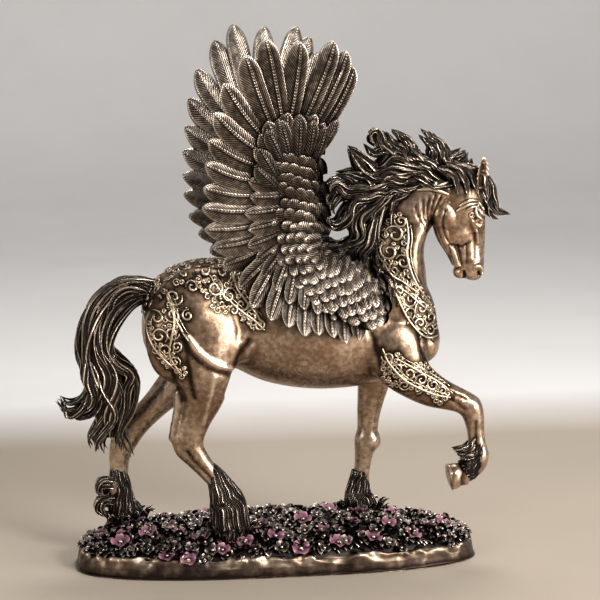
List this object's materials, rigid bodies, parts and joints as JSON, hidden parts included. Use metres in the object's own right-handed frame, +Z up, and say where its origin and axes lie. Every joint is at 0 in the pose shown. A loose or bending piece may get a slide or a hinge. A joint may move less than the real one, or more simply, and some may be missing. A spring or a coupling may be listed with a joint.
{
  "type": "winged horse figurine",
  "caption": "Cast bronze-finish figurine of a striding winged horse with raised wings, on an oval rocky base with a bed of leaves and flowers.",
  "frame": {"origin": "middle of the base's flat underside", "axes": "+X towards the horse's head, +Y towards its left side, +Z up"},
  "size_m": [0.2279, 0.0906, 0.2667],
  "materials": {
    "bronze": "antique cold-cast bronze, dark brown in the recesses and worn bright on the raised edges, with pink painted petals"
  },
  "bodies": {
    "root": {"pegasus_figurine": "bronze"}
  },
  "joints": []
}
